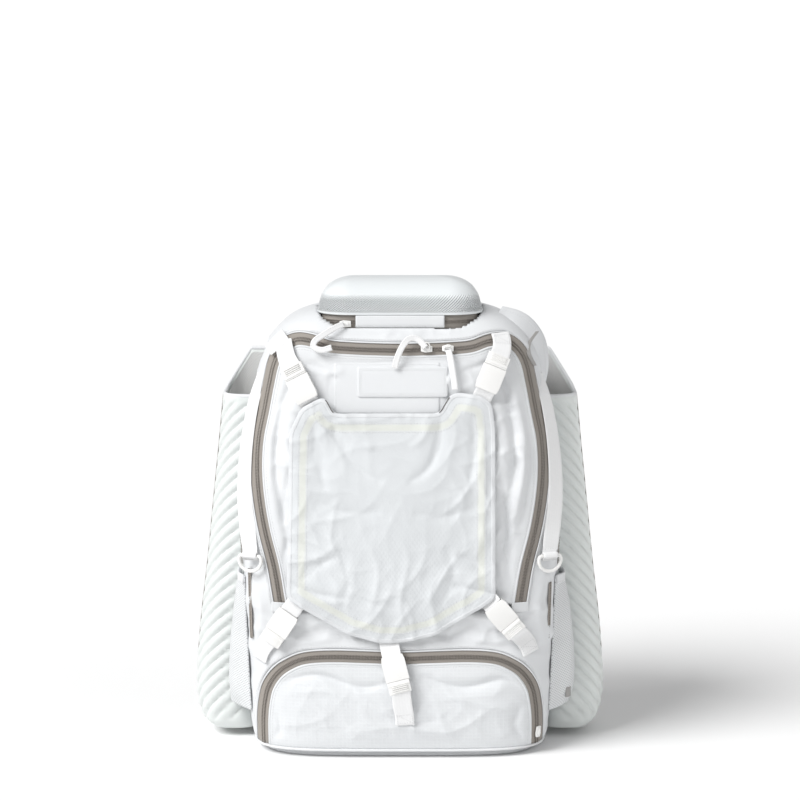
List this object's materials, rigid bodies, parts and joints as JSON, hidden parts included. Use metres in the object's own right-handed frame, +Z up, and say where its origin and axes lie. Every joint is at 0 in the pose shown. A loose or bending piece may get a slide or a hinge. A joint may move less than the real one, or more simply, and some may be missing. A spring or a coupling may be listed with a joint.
{
  "type": "baseball bat backpack",
  "caption": "Upright sports backpack with zipped compartments, a buckled helmet flap, a moulded top case and a ribbed open bat sleeve at each side.",
  "frame": {"origin": "on the flat base, under the middle of the body", "axes": "+Z up, -Y the front with the helmet flap, +X the bag's right as seen from the front"},
  "size_m": [0.4824, 0.3019, 0.549],
  "materials": {
    "ripstop": "matt woven ripstop",
    "webbing": "matt woven webbing",
    "mesh": "open knit mesh",
    "zip_tape": "matt woven tape with a moulded coil",
    "white_plastic": "satin moulded acetal",
    "moulded_foam": "satin moulded skin"
  },
  "bodies": {
    "bag": {"body_shell": "ripstop", "main_zip": "zip_tape", "main_panel": "ripstop", "shoe_zip": "zip_tape", "shoe_panel": "ripstop", "helmet_flap": "ripstop", "badge_patch": "ripstop", "case_shell": "moulded_foam", "case_zip": "zip_tape", "case_flap": "ripstop", "upper_left_socket": "white_plastic", "upper_left_latch": "white_plastic", "upper_left_tab": "webbing", "upper_left_strap": "webbing", "upper_right_socket": "white_plastic", "upper_right_latch": "white_plastic", "upper_right_tab": "webbing", "upper_right_strap": "webbing", "lower_left_socket": "white_plastic", "lower_left_latch": "white_plastic", "lower_left_tab": "webbing", "lower_left_strap": "webbing", "lower_right_socket": "white_plastic", "lower_right_latch": "white_plastic", "lower_right_tab": "webbing", "lower_right_strap": "webbing", "bottom_socket": "white_plastic", "bottom_latch": "white_plastic", "bottom_tab": "webbing", "bottom_strap": "webbing", "bat_sleeve_left": "moulded_foam", "bat_sleeve_right": "moulded_foam", "side_pocket_left": "mesh", "side_pocket_right": "mesh", "ring_strap_left": "webbing", "ring_strap_right": "webbing", "main_left_slider": "white_plastic", "main_left_pull": "webbing", "main_right_slider": "white_plastic", "main_right_pull": "webbing", "case_slider": "white_plastic", "case_pull": "webbing", "shoe_slider": "white_plastic", "back_pad": "mesh", "shoulder_strap_left": "ripstop", "harness_webbing_left": "webbing", "shoulder_strap_right": "ripstop", "harness_webbing_right": "webbing", "grab_loop": "webbing"},
    "ring_left": {"d_ring_left": "white_plastic"},
    "ring_right": {"d_ring_right": "white_plastic"}
  },
  "joints": [
    {"name": "ring_left_swing", "type": "hinge", "parent": "bag", "child": "ring_left", "pos_m": [-0.171, -0.10672, 0.234], "axis": [-0.9135, 0.4067, 0], "range_deg": [0, 110]},
    {"name": "ring_right_swing", "type": "hinge", "parent": "bag", "child": "ring_right", "pos_m": [0.171, -0.10672, 0.234], "axis": [-0.9135, -0.4067, 0], "range_deg": [0, 110]}
  ]
}
